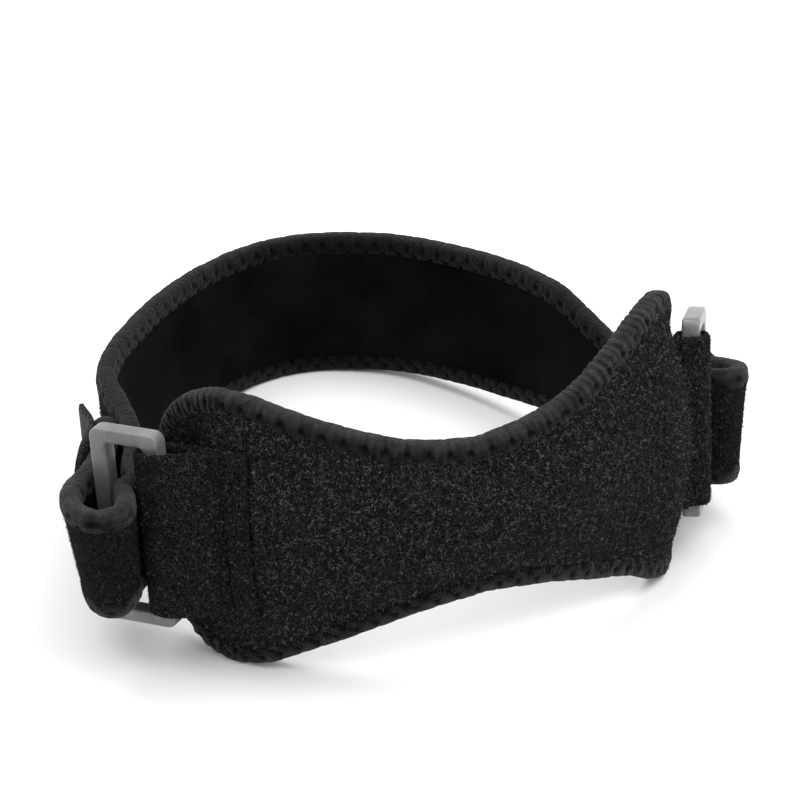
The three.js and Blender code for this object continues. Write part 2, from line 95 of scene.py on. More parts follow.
def new_object(name, data):
    made = bpy.data.objects.new(name, data)
    bpy.context.scene.collection.objects.link(made)
    return made


def new_finish(name):
    finish = bpy.data.materials.new(name)
    finish.use_nodes = True
    nodes = finish.node_tree.nodes
    return finish, nodes, finish.node_tree.links, nodes["Principled BSDF"]


floor_finish, nodes, links, shader = new_finish("floor_paper")
shader.inputs["Base Color"].default_value = (0.88, 0.88, 0.88, 1)
shader.inputs["Roughness"].default_value = 0.9
paper_grain = nodes.new("ShaderNodeTexNoise")
paper_grain.inputs["Scale"].default_value = 900
paper_bump = nodes.new("ShaderNodeBump")
paper_bump.inputs["Strength"].default_value = 0.02
paper_bump.inputs["Distance"].default_value = 0.0005
links.new(paper_grain.outputs["Fac"], paper_bump.inputs["Height"])
links.new(paper_bump.outputs["Normal"], shader.inputs["Normal"])

FLOOR_REACH = 6
floor_mesh = bpy.data.meshes.new("floor")
floor_mesh.from_pydata(
    [(x * FLOOR_REACH, y * FLOOR_REACH, 0) for x, y in ((-1, -1), (1, -1), (1, 1), (-1, 1))],
    [],
    [(0, 1, 2, 3)],
)
floor_mesh.materials.append(floor_finish)
floor = new_object("floor", floor_mesh)

world = bpy.data.worlds.new("studio")
world.use_nodes = True
world.node_tree.nodes["Background"].inputs["Color"].default_value = (1, 1, 1, 1)
world.node_tree.nodes["Background"].inputs["Strength"].default_value = 0.92
bpy.context.scene.world = world
bpy.context.scene.view_settings.view_transform = "Standard"

SOFTBOX_AIM = (0, 0, 0.02)
SOFTBOX_SIZE = 0.9
SOFTBOX_WATTS = 7


def softbox(name, place):
    data = bpy.data.lights.new(name, "AREA")
    data.shape = "DISK"
    data.size = SOFTBOX_SIZE
    data.energy = SOFTBOX_WATTS
    lamp = new_object(name, data)
    toward = np.array(SOFTBOX_AIM) - np.array(place)
    lamp.location = place
    lamp.rotation_mode = "QUATERNION"
    lamp.rotation_quaternion = Vector(toward).to_track_quat("-Z", "Y")


softbox("key_light", (0.42, -0.35, 0.95))
softbox("rear_light", (-0.05, 0.45, 1.05))

# The pad
# A bow-tie of foam faced on both sides with brushed loop cloth, swelled out in front and cut
# flush under the tape that binds its edge.
PAD_LENGTH = 147
LOBE_HEIGHT = 63
WAIST_HEIGHT = 35
PAD_END_HEIGHT = 24
LOBE_ROUNDING = 19
LOBE_CREST = PAD_LENGTH / 2 - LOBE_ROUNDING
PAD_THICKNESS = 4.5
PAD_CROWN = 4.4
PAD_CROWN_LENGTH = 120
PAD_CROWN_FULLNESS = 8
PAD_MIDDLE = np.array([3, -28.3])
PAD_FRONT_RADIUS = 78
PAD_FRONT_ARC = 45
PAD_END_RADIUS = {-1: 40, 1: 30}
BINDING_WIDTH = 4.8
BINDING_NOSE = 1.1
LEAN_CORE = 16
LEAN_REACH = 46

RING_WIDTH = 16.3
RING_BAR = 3.8

# Each end of the strap: where its ring's front bar lies along the pad and how far it stands off
# the pad's face, the heading of the ring's width, how far ring and tab sit above the middle, how
# far the end leans, how far the loop stands out of the ring and hangs below the rest of the
# strap, how much and where its top tips outwards, and the two layers of its tab.
ENDS = {
    "left": dict(
        side=-1, bar_reach=65, bar_rise=7.2, heading=133.3, lift=1.2, lean=0.5,
        reach=14.8, drop=0.5, flare=0.12, flare_run=(2, 14, 26, 40),
        tab_start=53, tab_step=5.5, hook_length=28,
    ),
    "right": dict(
        side=1, bar_reach=63, bar_rise=4.7, heading=60, lift=1.8, lean=12,
        reach=8.2, drop=1.7, flare=0.12, flare_run=(5, 14, 20, 32),
        tab_start=57, tab_step=1.5, hook_length=19,
    ),
}


def smooth(x, low, high):
    share = np.clip((x - low) / (high - low), 0, 1)
    return share * share * (3 - 2 * share)


def pad_plan(s):
    """The pad's middle line seen from above, and the way that its front faces."""
    s = np.asarray(s, float)
    side = np.where(s < 0, -1.0, 1.0)
    reach = np.abs(s)
    radius = np.where(s < 0, PAD_END_RADIUS[-1], PAD_END_RADIUS[1])
    front = np.minimum(reach, PAD_FRONT_ARC) / PAD_FRONT_RADIUS
    turn = front + np.maximum(reach - PAD_FRONT_ARC, 0) / radius
    x = PAD_FRONT_RADIUS * np.sin(front) + radius * (np.sin(turn) - np.sin(front))
    y = PAD_FRONT_RADIUS * (1 - np.cos(front)) + radius * (np.cos(front) - np.cos(turn))
    return PAD_MIDDLE[0] + side * x, PAD_MIDDLE[1] + y, side * np.sin(turn), -np.cos(turn)


for end in ENDS.values():
    heading = math.radians(end["heading"])
    end["along"] = np.array([math.cos(heading), math.sin(heading)])
    end["out"] = end["side"] * np.array([math.sin(heading), -math.cos(heading)])
    bar_x, bar_y, out_x, out_y = (float(v) for v in pad_plan(end["side"] * end["bar_reach"]))
    end["ring"] = (
        np.array([bar_x, bar_y])
        + np.array([out_x, out_y]) * end["bar_rise"]
        + end["along"] * (RING_WIDTH - RING_BAR) / 2
    )
    crest_x, crest_y = (float(v) for v in pad_plan(end["side"] * LOBE_CREST)[:2])
    end["pivot"] = float((np.array([crest_x, crest_y]) - end["ring"]) @ end["along"])


def stood(points):
    """Leans the two ends, stands the strap on its edge and presses its feet flat; metres."""
    points = np.asarray(points, float)
    moved = points.copy()
    for end in ENDS.values():
        away = points[..., :2] - end["ring"]
        share = 1 - smooth(np.linalg.norm(away, axis=-1), LEAN_CORE, LEAN_REACH)
        turn = math.radians(end["lean"]) * share
        along = away @ end["along"] - end["pivot"]
        turned = along * np.cos(turn) + points[..., 2] * np.sin(turn)
        raised = points[..., 2] * np.cos(turn) - along * np.sin(turn)
        moved[..., :2] += (turned - along)[..., None] * end["along"]
        moved[..., 2] += raised - points[..., 2]
    below = np.maximum(-STRAP_SHIFT[2] - moved @ STRAP_UP, 0)
    moved += below[..., None] * STRAP_UP
    return (moved @ UPRIGHT.T + STRAP_SHIFT) * MILLIMETRE


def pad_at(s, w, d):
    x, y, normal_x, normal_y = pad_plan(s)
    depth = d - PAD_THICKNESS / 2
    return np.stack([x + normal_x * depth, y + normal_y * depth, w + 0 * x], axis=-1)


def stretch(start, stop, go, come, t):
    """A place on the cubic that leaves start at the rate go and reaches stop at the rate come."""
    return (
        (2 * start - 2 * stop + go + come) * t ** 3
        + (-3 * start + 3 * stop - 2 * go - come) * t ** 2
        + go * t + start
    )


def through(places, steps):
    """A smooth line through places, steps to each stretch."""
    places = np.asarray(places, float)
    line = []
    for i in range(len(places) - 1):
        near = [min(max(i + k, 0), len(places) - 1) for k in (-1, 0, 1, 2)]
        before, start, stop, after = places[near]
        for t in np.arange(steps) / steps:
            line.append(stretch(start, stop, (stop - before) / 2, (after - start) / 2, t))
    line.append(places[-1])
    return np.array(line)


# How the pad's height grows from its waist to the crest of a lobe, in shares of both.
BOW_TIE = through([(0, 0), (0.29, 0.17), (0.66, 0.63), (0.86, 0.92), (1, 1)], steps=60)


def pad_half_height(s):
    reach = np.abs(s)
    waist = WAIST_HEIGHT / 2 + (LOBE_HEIGHT - WAIST_HEIGHT) / 2 * np.interp(
        reach / LOBE_CREST, BOW_TIE[:, 0], BOW_TIE[:, 1]
    )
    along = np.clip((reach - LOBE_CREST) / LOBE_ROUNDING, 0, 1)
    lobe = PAD_END_HEIGHT / 2 + (LOBE_HEIGHT - PAD_END_HEIGHT) / 2 * np.sqrt(1 - along ** 2)
    return np.where(reach > LOBE_CREST, lobe, waist)


def pad_rise(s, w):
    across = np.clip(np.abs(w) / (pad_half_height(s) - BINDING_WIDTH), 0, 1)
    along = np.clip(np.abs(s) / (PAD_CROWN_LENGTH / 2), 0, 1)
    return PAD_CROWN * (1 - across ** 2) * (1 - along ** PAD_CROWN_FULLNESS)


TAB_HEIGHT = 37.6
SWELL_RUN = 17
SWELL_HALF_HEIGHT = 27
SWELL_DROP = 1
SWELL = {-1: 1.6, 1: 3.1}


def pad_swell(s, w):
    """How far the pile stands up in front of each tab's cut end, so that the tab lies sunk in."""
    total = 0
    for end in ENDS.values():
        start = end["tab_start"] - end["tab_step"]
        reach = s * end["side"]
        rise = smooth(reach, start - SWELL_RUN, start - 2)
        rise = rise * (1 - smooth(reach, start - 0.5, start + 0.3))
        within = np.clip(1 - ((w + SWELL_DROP) / SWELL_HALF_HEIGHT) ** 2, 0, 1)
        total = total + SWELL[end["side"]] * rise * within
    return total


def spaced(corners, pitch):
    """A closed outline cut into equal steps: places, inward normals and lengths along it."""
    closed = np.vstack([corners, corners[:1]])
    lengths = np.concatenate([[0], np.cumsum(np.linalg.norm(np.diff(closed, axis=0), axis=1))])
    count = int(round(lengths[-1] / pitch))
    run = np.arange(count) * lengths[-1] / count
    places = np.stack([np.interp(run, lengths, closed[:, k]) for k in (0, 1)], axis=1)
    ahead = np.roll(places, -2, axis=0) - np.roll(places, 2, axis=0)
    ahead /= np.linalg.norm(ahead, axis=1)[:, None]
    return places, np.stack([-ahead[:, 1], ahead[:, 0]], axis=1), run, lengths[-1]


def pad_outline(pitch):
    along = np.concatenate([
        np.linspace(0, LOBE_CREST, 60),
        LOBE_CREST + LOBE_ROUNDING * np.sin(np.linspace(0, math.pi / 2, 40)[1:]),
    ])
    quarter = np.stack([along, pad_half_height(along)], axis=1)
    half = np.vstack([quarter * (1, -1), quarter[::-1]])
    return spaced(np.vstack([half, half[::-1][1:-1] * (-1, 1)]), pitch)


def skin(name, rings, materials, closed_rings=False, painted_light_values=None, cloths=None):
    """Skins rows of points, each row closed, into one mesh.

    closed_rings joins the last row to the first, the painted shade and highlight of each point may
    be given as values, and cloths gives a material for each face.
    """
    size = len(rings[0])
    faces = []
    rows = len(rings) if closed_rings else len(rings) - 1
    for i in range(rows):
        low, high = i * size, (i + 1) % len(rings) * size
        for j in range(size):
            k = (j + 1) % size
            faces.append((low + j, low + k, high + k, high + j))
    mesh = bpy.data.meshes.new(name)
    mesh.from_pydata(np.vstack(rings).tolist(), [], faces)
    for material in materials:
        mesh.materials.append(material)
    if cloths is not None:
        mesh.polygons.foreach_set("material_index", np.concatenate(cloths).astype(np.int32))
    # The painted shade and highlight are kept as a point attribute for the tape's finish.
    if painted_light_values is not None:
        depth = mesh.attributes.new("painted_light", "FLOAT", "POINT")
        depth.data.foreach_set("value", np.concatenate(painted_light_values))
    return finished_mesh(mesh)


WELD_DISTANCE = 2e-6


def finished_mesh(mesh):
    made = bmesh.new()
    made.from_mesh(mesh)
    bmesh.ops.remove_doubles(made, verts=made.verts, dist=WELD_DISTANCE)
    bmesh.ops.recalc_face_normals(made, faces=made.faces)
    made.to_mesh(mesh)
    made.free()
    mesh.polygons.foreach_set("use_smooth", [True] * len(mesh.polygons))
    mesh.update()
    return mesh


def ripple(points, wavelengths, seed):
    """A soft irregular height for each point, between -1 and 1, from crossed waves."""
    rng = np.random.default_rng(seed)
    height = np.zeros(points.shape[:-1])
    for wavelength in wavelengths:
        for _ in range(3):
            way = rng.normal(size=points.shape[-1])
            way *= 2 * math.pi / wavelength / np.linalg.norm(way)
            height += np.sin(points @ way + rng.uniform(0, 2 * math.pi))
    return height / (3 * len(wavelengths))


# A mix node keeps its colours in these sockets.
MIX_LOW, MIX_HIGH, MIX_RESULT = 6, 7, 2


def mixed(nodes, links, fac, low, high):
    mix = nodes.new("ShaderNodeMix")
    mix.data_type = "RGBA"
    mix.inputs[MIX_LOW].default_value = (*low, 1)
    mix.inputs[MIX_HIGH].default_value = (*high, 1)
    links.new(fac, mix.inputs[0])
    return mix.outputs[MIX_RESULT]


def noise(nodes, links, scale, detail, low, high):
    """Noise of a given scale on the object's own places, with its range spread out."""
    place = nodes.new("ShaderNodeTexCoord")
    texture = nodes.new("ShaderNodeTexNoise")
    texture.inputs["Scale"].default_value = scale
    texture.inputs["Detail"].default_value = detail
    links.new(place.outputs["Object"], texture.inputs["Vector"])
    spread = nodes.new("ShaderNodeMapRange")
    spread.inputs["From Min"].default_value = low
    spread.inputs["From Max"].default_value = high
    links.new(texture.outputs["Fac"], spread.inputs["Value"])
    return spread.outputs["Result"]


def bumped(nodes, links, shader, height, distance):
    bump = nodes.new("ShaderNodeBump")
    bump.inputs["Strength"].default_value = 1
    bump.inputs["Distance"].default_value = distance
    links.new(height, bump.inputs["Height"])
    links.new(bump.outputs["Normal"], shader.inputs["Normal"])


def pile_finish(name, dark, light):
    """Brushed loop pile: matt black, mottled with lighter tufts about half a millimetre across."""
    finish, nodes, links, shader = new_finish(name)
    tufts = noise(nodes, links, 2100, 3, 0.38, 0.68)
    patches = noise(nodes, links, 110, 3, 0.3, 0.7)
    both = nodes.new("ShaderNodeMath")
    both.operation = "MULTIPLY"
    lifted = nodes.new("ShaderNodeMapRange")
    lifted.inputs["To Min"].default_value = 0.55
    links.new(patches, lifted.inputs["Value"])
    links.new(tufts, both.inputs[0])
    links.new(lifted.outputs["Result"], both.inputs[1])
    links.new(mixed(nodes, links, both.outputs[0], dark, light), shader.inputs["Base Color"])
    shader.inputs["Roughness"].default_value = 0.95
    shader.inputs["Specular IOR Level"].default_value = 0.04
    shader.inputs["Sheen Weight"].default_value = 0.02
    shader.inputs["Sheen Roughness"].default_value = 0.5
    bumped(nodes, links, shader, tufts, 0.0012)
    return finish


PILE = pile_finish("pile_cloth", (0.0004, 0.0004, 0.0004), (0.032, 0.032, 0.033))


def fibre_finish(name, light):
    """Single fibres of the pile, from black to a dark grey."""
    finish, nodes, links, shader = new_finish(name)
    shade = noise(nodes, links, 900, 2, 0.42, 0.66)
    links.new(mixed(nodes, links, shade, (0.001, 0.001, 0.001), light), shader.inputs["Base Color"])
    shader.inputs["Roughness"].default_value = 0.8
    shader.inputs["Specular IOR Level"].default_value = 0.1
    return finish


FIBRE = fibre_finish("pile_fibre", (0.085, 0.085, 0.086))


def panel_rings(outline, at, half, rise, spine, inset, steps):
    """Rows of a bound panel: in from under the tape to the spine in front, and out behind."""
    places, inward, _, _ = outline
    start = places + inward * inset
    middle = spine(places)
    shares = np.sin(np.linspace(0, math.pi / 2, steps))
    rows = []
    for share in shares[::-1]:
        flat = start + (middle - start) * share
        rows.append(at(flat[:, 0], flat[:, 1], half + rise(flat[:, 0], flat[:, 1])))
    for share in shares:
        flat = start + (middle - start) * share
        rows.append(at(flat[:, 0], flat[:, 1], -half + 0 * flat[:, 0]))
    return rows


def nap(s, w, height, seed):
    """The uneven height of a brushed cloth."""
    return height * ripple(np.stack([s, w], axis=-1), (7, 3.1, 1.7), seed)


pad_edge = pad_outline(pitch=0.8)
pad_spine = PAD_LENGTH / 2 - LOBE_HEIGHT / 3
pad_rows = panel_rings(
    pad_edge,
    pad_at,
    PAD_THICKNESS / 2,
    lambda s, w: pad_rise(s, w) + pad_swell(s, w) + nap(s, w, height=0.16, seed=3),
    lambda p: np.clip(p, (-pad_spine, 0), (pad_spine, 0)),
    BINDING_WIDTH - BINDING_NOSE,
    steps=34,
)
pad = new_object("pad_body", skin("pad_body", [stood(row) for row in pad_rows], [PILE]))
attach(pad, "root")
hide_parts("pad")

fibre_share = 1


def pile_of(piece, cloth, count, seed):
    """Places scattered evenly over the faces of one cloth of a piece, and which way each faces."""
    corners = np.array([corner.co[:] for corner in piece.data.vertices])
    faces = [
        face for face in piece.data.polygons
        if face.material_index == cloth and len(face.vertices) == 4
    ]
    quads = corners[[list(face.vertices) for face in faces]]
    facing = np.array([face.normal[:] for face in faces])
    areas = np.array([face.area for face in faces])
    rng = np.random.default_rng(seed)
    pick = rng.choice(len(faces), count, p=areas / areas.sum())
    u, v = rng.random((2, count, 1))
    a, b, c, d = (quads[pick, k] for k in range(4))
    return (a * (1 - u) + b * u) * (1 - v) + (d * (1 - u) + c * u) * v, facing[pick]


def fibres(name, piece, cloth, count, length, width, seed, finish):
    """Short bent fibres that stand out of a piece's pile, each a narrow ribbon in two pieces."""
    count = int(count * fibre_share)
    roots, normals = pile_of(piece, cloth, count, seed)
    rng = np.random.default_rng(seed + 1)
    lean = rng.normal(size=(count, 3))
    lean -= (lean * normals).sum(1)[:, None] * normals
    lean /= np.linalg.norm(lean, axis=1)[:, None]
    flat = np.cross(normals, lean)
    long = length * rng.uniform(0.5, 1.25, (count, 1))
    lift = rng.uniform(0.15, 0.75, (count, 1))
    knee = roots + (normals * lift + lean * 0.55) * long * 0.55
    stray = flat * rng.normal(0, 0.3, (count, 1))
    tip = knee + (normals * lift * 0.1 + lean * 0.8 + stray) * long * 0.5
    half = flat * width / 2
    points = np.stack([roots - half, roots + half, knee - half, knee + half, tip], axis=1)
    base = np.arange(count)[:, None] * 5
    quads = (base + [0, 1, 3, 2]).tolist()
    tips = (base + [2, 3, 4]).tolist()
    mesh = bpy.data.meshes.new(name)
    mesh.from_pydata(points.reshape(-1, 3).tolist(), [], quads + tips)
    mesh.materials.append(finish)
    mesh.polygons.foreach_set("use_smooth", [True] * len(mesh.polygons))
    return new_object(name, mesh)


pad_fibres = fibres(
    "pad_fibres", pad, cloth=0, count=50000, length=0.0011, width=0.00012, seed=11, finish=FIBRE
)
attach(pad_fibres, "root")

# The pad's binding
# Smooth stretch tape folded over the pad's edge and zigzag stitched through both faces. The
# stitches pull it in at even steps, and it gathers into ribs where it turns round a lobe.
BINDING_PUFF = 0.35
TUCK_DEPTH = 0.75
NOSE_SHARE = 0.42
RIB_PITCH = 1.7
RIB_HEIGHT = 0.62
STITCH_PITCH = 4.4
STITCH_DEPTH = 0.55
TAPE_LINES = 26


def tape_finish(name, dark, light):
    """Fine stretch tape, slightly silky with a close knit; painted shade in its creases, painted
    highlight on its ribs.
    """
    finish, nodes, links, shader = new_finish(name)
    shade = noise(nodes, links, 420, 4, 0.3, 0.72)
    # A point attribute paints shade and highlight: low values take the tape's colour towards black,
    # high ones keep it full.
    painted_light = nodes.new("ShaderNodeAttribute")
    painted_light.attribute_name = "painted_light"
    folded = mixed(nodes, links, painted_light.outputs["Fac"], (0.0005, 0.0005, 0.0005), light)
    links.new(mixed(nodes, links, shade, dark, light), folded.node.inputs[MIX_HIGH])
    links.new(folded, shader.inputs["Base Color"])
    knit = noise(nodes, links, 2600, 2, 0.3, 0.7)
    shader.inputs["Roughness"].default_value = 0.8
    shader.inputs["Specular IOR Level"].default_value = 0.1
    shader.inputs["Sheen Weight"].default_value = 0.12
    shader.inputs["Sheen Roughness"].default_value = 0.22
    bumped(nodes, links, shader, knit, 0.0003)
    return finish


TAPE = tape_finish("binding_tape", (0.012, 0.012, 0.0122), (0.046, 0.046, 0.047))


def peak(x, middle, spread):
    return np.exp(-((x - middle) / spread) ** 2)


def along_edge(run, wavelengths, seed):
    return ripple(np.stack([run, 0 * run], axis=-1), wavelengths, seed)


def tape_rings(outline, at, half, gathers, seed):
    """Lines that run along a folded tape, and the painted shade and highlight of each point, from 0
    to 1.
    """
    places, inward, run, total = outline
    # From the front inner edge, out round the panel's edge, and in again at the back. The tape
    # turns round the edge over the middle of its width, which is its nose.
    turn = np.linspace(0, 1, TAPE_LINES)
    side = np.where(turn < 0.5, 1, -1)
    reach = np.clip((np.abs(turn - 0.5) * 2 - NOSE_SHARE) / (1 - NOSE_SHARE), 0, 1)
    nose = np.clip(1 - np.abs(turn - 0.5) * 2 / NOSE_SHARE, 0, 1) * math.pi / 2
    nose_inset = BINDING_NOSE * (1 - np.sin(nose))
    inset = np.where(reach > 0, BINDING_NOSE + (BINDING_WIDTH - BINDING_NOSE) * reach, nose_inset)
    depth = np.where(reach > 0, half, half * np.cos(nose) ** 0.8) * side
    puff = BINDING_PUFF * np.sin(reach * math.pi) * side
    tuck = -TUCK_DEPTH * smooth(reach, 0.86, 1) * side
    # Each zigzag stitch pulls the tape in near its edge, near its seam and in a crease between.
    phase = run / (total / round(total / STITCH_PITCH))
    pull = peak(phase % 1, 0.5, 0.13)
    pull_between = peak((phase + 0.5) % 1, 0.5, 0.13)
    # The ribs lie close together round the top of a lobe and twice as wide apart below.
    ribs = np.cumsum(np.where(places[:, 1] > 0, 1, 0.5)) * run[1] / RIB_PITCH
    unsteady = along_edge(run, (17, 7.3, 4.1), seed + 1)
    rib = np.sin(math.pi * (ribs * round(ribs[-1]) / ribs[-1] + 0.45 * unsteady)) ** 2 - 0.5
    rib = rib * (0.75 + 0.6 * along_edge(run, (11, 5.2), seed + 2))
    wander = along_edge(run, (23, 9), seed)
    rings = []
    painted_light_values = []
    for k in range(TAPE_LINES):
        near_edge = peak(reach[k], 0.26, 0.15) if reach[k] > 0 else 0.15
        near_seam = peak(reach[k], 0.72, 0.15)
        creased = peak((phase + 0.5 * reach[k]) % 1, 0.5, 0.09) * (reach[k] > 0)
        pulled = pull * near_edge + 0.8 * pull_between * near_seam + 0.22 * creased
        gather = gathers * rib * (1 - 0.35 * reach[k])
        rise = gather * RIB_HEIGHT - pulled * STITCH_DEPTH + wander * 0.08
        out = (gather * 0.2 - 0.07 * pull + 0.12 * wander) * (1 - min(reach[k] * 1.6, 1))
        flat = places + inward * (inset[k] - out)[:, None]
        rings.append(at(flat[:, 0], flat[:, 1], depth[k] + puff[k] + tuck[k] + side[k] * rise))
        # Painted shade in the stitch dips, in the grooves between ribs and along the seam at the
        # inner edge, and painted highlight on the rib crests and round the nose.
        crease_shade = 1.1 * pulled + gathers * np.clip((0.1 - rib) / 0.5, 0, 1)
        crease_shade += 1.2 * smooth(reach[k], 0.8, 0.96)
        crest_highlight = gathers * np.clip(rib / 0.4, 0, 1) + 0.6 * (1 - min(reach[k] * 3, 1))
        painted_light_values.append(np.clip(0.3 + 0.7 * crest_highlight - crease_shade, 0, 1))
    # Two lines inside the panel close the tape, painted near black as shade along its inner seam.
    flat = places + inward * (BINDING_WIDTH - 0.1)
    for face in (-1, 1):
        rings.append(at(flat[:, 0], flat[:, 1], (half - 1.15) * face + 0 * run))
        painted_light_values.append(0 * run)
    return rings, painted_light_values


pad_tape_edge = pad_outline(pitch=0.27)
pad_tape_s = pad_tape_edge[0][:, 0]
# The tape is gathered most round the lobes, and more on the pad's right half than on its left.
pad_gathers = (
    0.14
    + 0.3 * smooth(pad_tape_s, 8, 34)
    + 0.56 * smooth(np.abs(pad_tape_s), LOBE_CREST - 4, LOBE_CREST + 6)
)
# Each point of the tape also carries its painted shade and highlight.
pad_tape_lines, pad_painted_light = tape_rings(
    pad_tape_edge, pad_at, PAD_THICKNESS / 2, pad_gathers, seed=5
)
pad_tape_lines = [stood(line) for line in pad_tape_lines]
pad_tape = new_object(
    "pad_tape",
    skin("pad_tape", pad_tape_lines, [TAPE], closed_rings=True, painted_light_values=pad_painted_light),
)
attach(pad_tape, "root")
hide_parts("pad_binding")

# The back strap
# Thin firm foam faced with smooth knit on the side of the leg and brushed loop on the outside. It
# runs out through each ring's slot, turns round the ring's rear bar and lies back on itself.
STRAP_THICKNESS = 4
STRAP_HEIGHT = 34.8
STRAP_LOOP_HEIGHT = 26
STRAP_TIP_ROUNDING = 6
STRAP_TAPER = (5, 66)
STRAP_DROP_RUN = 20
STRAP_HALF_WIDTH = (ENDS["right"]["ring"][0] - ENDS["left"]["ring"][0]) / 2 + 1
STRAP_DEPTH = 96.5
SEAT = 0.5
RING_THICKNESS = 4
# The strap's line seen from above: how many places of the main run each folded tip lies against,
# the loop outside each ring in shares of the ring's width along it and of the loop's reach out of
# it, the way through its slot in shares of its thickness, and the main run behind the leg.
TAIL_PLACES = {"left": 2, "right": 1}
LOOP_PLACES = {
    "left": [
        (0.69, -0.05), (0.63, 0.3), (0.49, 0.62), (0.31, 0.85), (0.12, 0.98),
        (-0.06, 1), (-0.17, 0.88), (-0.16, 0.63), (-0.07, 0.39),
    ],
    "right": [
        (0.75, 0.12), (0.67, 0.5), (0.53, 0.83), (0.34, 1), (0.16, 0.96), (0.055, 0.76),
        (0.035, 0.52),
    ],
}
SLOT_PLACES = [(0.034, 0.7), (0.055, 0), (0.045, -0.65)]
MAIN_RUN = np.array([
    (-0.945, 0.085), (-0.9, 0.16), (-0.872, 0.27), (-0.865, 0.37), (-0.857, 0.475),
    (-0.797, 0.565), (-0.675, 0.68), (-0.515, 0.805), (-0.318, 0.918), (-0.09, 0.992),
    (0.09, 0.997), (0.25, 0.958), (0.405, 0.887), (0.547, 0.766), (0.659, 0.634),
    (0.745, 0.498), (0.806, 0.36), (0.864, 0.222), (0.912, 0.135), (0.948, 0.075),
]) * (STRAP_HALF_WIDTH, STRAP_DEPTH)


def by_ring(end, along, out):
    """A place given from a ring's middle, along its width and out through it."""
    return end["ring"] + along * end["along"] + out * end["out"]


def tail_of(side, run):
    """The places of the folded end's tip, laid outside the strap's run behind the ring."""
    made = []
    for i in range(2, 2 + TAIL_PLACES[side]):
        ahead = run[i + 1] - run[i - 1]
        ahead /= np.linalg.norm(ahead)
        out = ENDS[side]["side"] * np.array([ahead[1], -ahead[0]])
        made.append(run[i] + out * (STRAP_THICKNESS + SEAT))
    return made


def fold_of(side):
    """The places of the loop outside the ring, then of the way in through its slot."""
    end = ENDS[side]
    loop = [(along, out * end["reach"]) for along, out in LOOP_PLACES[side]]
    slot = [(along, out * RING_THICKNESS) for along, out in SLOT_PLACES]
    return [by_ring(end, along * RING_WIDTH, out) for along, out in loop + slot]


def eased(places, steps):
    """A smooth line whose tightness follows the spacing of its places."""
    places = [2 * places[0] - places[1], *places, 2 * places[-1] - places[-2]]
    line = []
    for i in range(1, len(places) - 2):
        p0, p1, p2, p3 = places[i - 1:i + 3]
        d0, d1, d2 = (np.linalg.norm(b - a) ** 0.5 for a, b in ((p0, p1), (p1, p2), (p2, p3)))
        go = ((p1 - p0) / d0 - (p2 - p0) / (d0 + d1) + (p2 - p1) / d1) * d1
        come = ((p2 - p1) / d1 - (p3 - p1) / (d1 + d2) + (p3 - p2) / d2) * d1
        for t in np.arange(steps) / steps:
            line.append(stretch(p1, p2, go, come, t))
    line.append(places[-2])
    return np.array(line)


strap_line = eased([
    *tail_of("left", MAIN_RUN)[::-1],
    *fold_of("left"),
    *MAIN_RUN,
    *fold_of("right")[::-1],
    *tail_of("right", MAIN_RUN[::-1]),
], steps=60)
strap_run = np.concatenate([[0], np.cumsum(np.linalg.norm(np.diff(strap_line, axis=0), axis=1))])
STRAP_LENGTH = float(strap_run[-1])
strap_way = np.gradient(strap_line, strap_run, axis=0)
strap_way /= np.linalg.norm(strap_way, axis=1)[:, None]


def crossing(end):
    """How far along the strap it passes a ring's middle."""
    return float(strap_run[np.argmin(np.linalg.norm(strap_line - end["ring"], axis=1))])


LEFT_CROSSING, RIGHT_CROSSING = crossing(ENDS["left"]), crossing(ENDS["right"])


def strap_half_height(s):
    full = smooth(np.minimum(s - LEFT_CROSSING, RIGHT_CROSSING - s), *STRAP_TAPER)
    return (STRAP_LOOP_HEIGHT + (STRAP_HEIGHT - STRAP_LOOP_HEIGHT) * full) / 2


def past_rings(s):
    return (ENDS["left"], LEFT_CROSSING - s), (ENDS["right"], s - RIGHT_CROSSING)


def strap_flare(s):
    total = 0
    for end, past in past_rings(s):
        start, full, ease, stop = end["flare_run"]
        total = total + end["flare"] * smooth(past, start, full) * (1 - smooth(past, ease, stop))
    return total


def strap_drop(s):
    return sum(end["drop"] * smooth(past, -STRAP_DROP_RUN, 0) for end, past in past_rings(s))


def strap_at(s, w, d):
    s = np.clip(s, 0, STRAP_LENGTH)
    x, y = (np.interp(s, strap_run, strap_line[:, k]) for k in (0, 1))
    way_x, way_y = (np.interp(s, strap_run, strap_way[:, k]) for k in (0, 1))
    out = d + w * strap_flare(s)
    return np.stack([x + way_y * out, y - way_x * out, w - strap_drop(s) + 0 * x], axis=-1)


def strap_outline(pitch):
    corner = np.linspace(0, math.pi / 2, 12)
    straight = np.linspace(STRAP_TIP_ROUNDING, STRAP_LENGTH / 2, 400)[1:]
    along = np.concatenate([STRAP_TIP_ROUNDING * (1 - np.cos(corner)), straight])
    trim = np.concatenate([STRAP_TIP_ROUNDING * (1 - np.sin(corner)), 0 * straight])
    along = np.concatenate([along, STRAP_LENGTH - along[::-1][1:]])
    trim = np.concatenate([trim, trim[::-1][1:]])
    lower = np.stack([along, trim - strap_half_height(along)], axis=1)
    return spaced(np.vstack([lower, (lower * (1, -1))[::-1]]), pitch)


def knit_finish(name, dark, light):
    """The strap's smooth inner cloth: a fine close knit with faint uneven shade."""
    finish, nodes, links, shader = new_finish(name)
    shade = noise(nodes, links, 70, 4, 0.3, 0.72)
    links.new(mixed(nodes, links, shade, dark, light), shader.inputs["Base Color"])
    knit = noise(nodes, links, 2600, 2, 0.3, 0.7)
    shader.inputs["Roughness"].default_value = 0.85
    shader.inputs["Specular IOR Level"].default_value = 0.04
    bumped(nodes, links, shader, knit, 0.0002)
    return finish


KNIT = knit_finish("inner_knit", (0.001, 0.001, 0.001), (0.006, 0.006, 0.0061))

